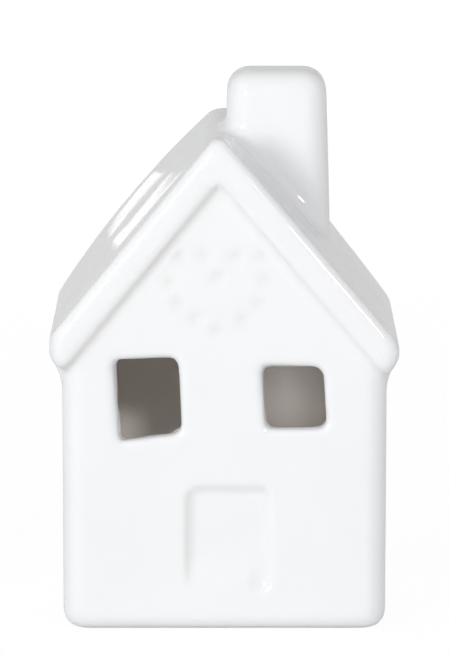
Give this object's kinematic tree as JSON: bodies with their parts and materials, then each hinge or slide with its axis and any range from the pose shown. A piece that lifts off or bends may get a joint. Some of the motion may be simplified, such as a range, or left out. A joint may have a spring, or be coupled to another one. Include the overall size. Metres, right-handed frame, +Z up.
{
  "type": "tealight house",
  "caption": "White glazed ceramic house for a tealight, with a gabled roof, closed chimney, cut windows, recessed door and a dotted heart, open at the back.",
  "frame": {"origin": "centre of the base, on the surface the house stands on", "axes": "+Z up the house to the chimney's top; the gable with the windows and the door faces -Y; +X to the right seen from the front"},
  "size_m": [0.0752, 0.062, 0.1194],
  "materials": {
    "white_glaze": "gloss",
    "cup_aluminium": "satin",
    "candle_wax": "satin",
    "sustainer_steel": "satin",
    "wick_cotton": "matte"
  },
  "bodies": {
    "house": {"house_body": "white_glaze"},
    "tealight": {"tealight_cup": "cup_aluminium", "tealight_wax": "candle_wax", "wick_sustainer": "sustainer_steel", "wick": "wick_cotton"}
  },
  "joints": [
    {"name": "tealight_slide", "type": "slide", "parent": "house", "child": "tealight", "axis": [0, 1, 0], "range_m": [0, 0.056]}
  ]
}
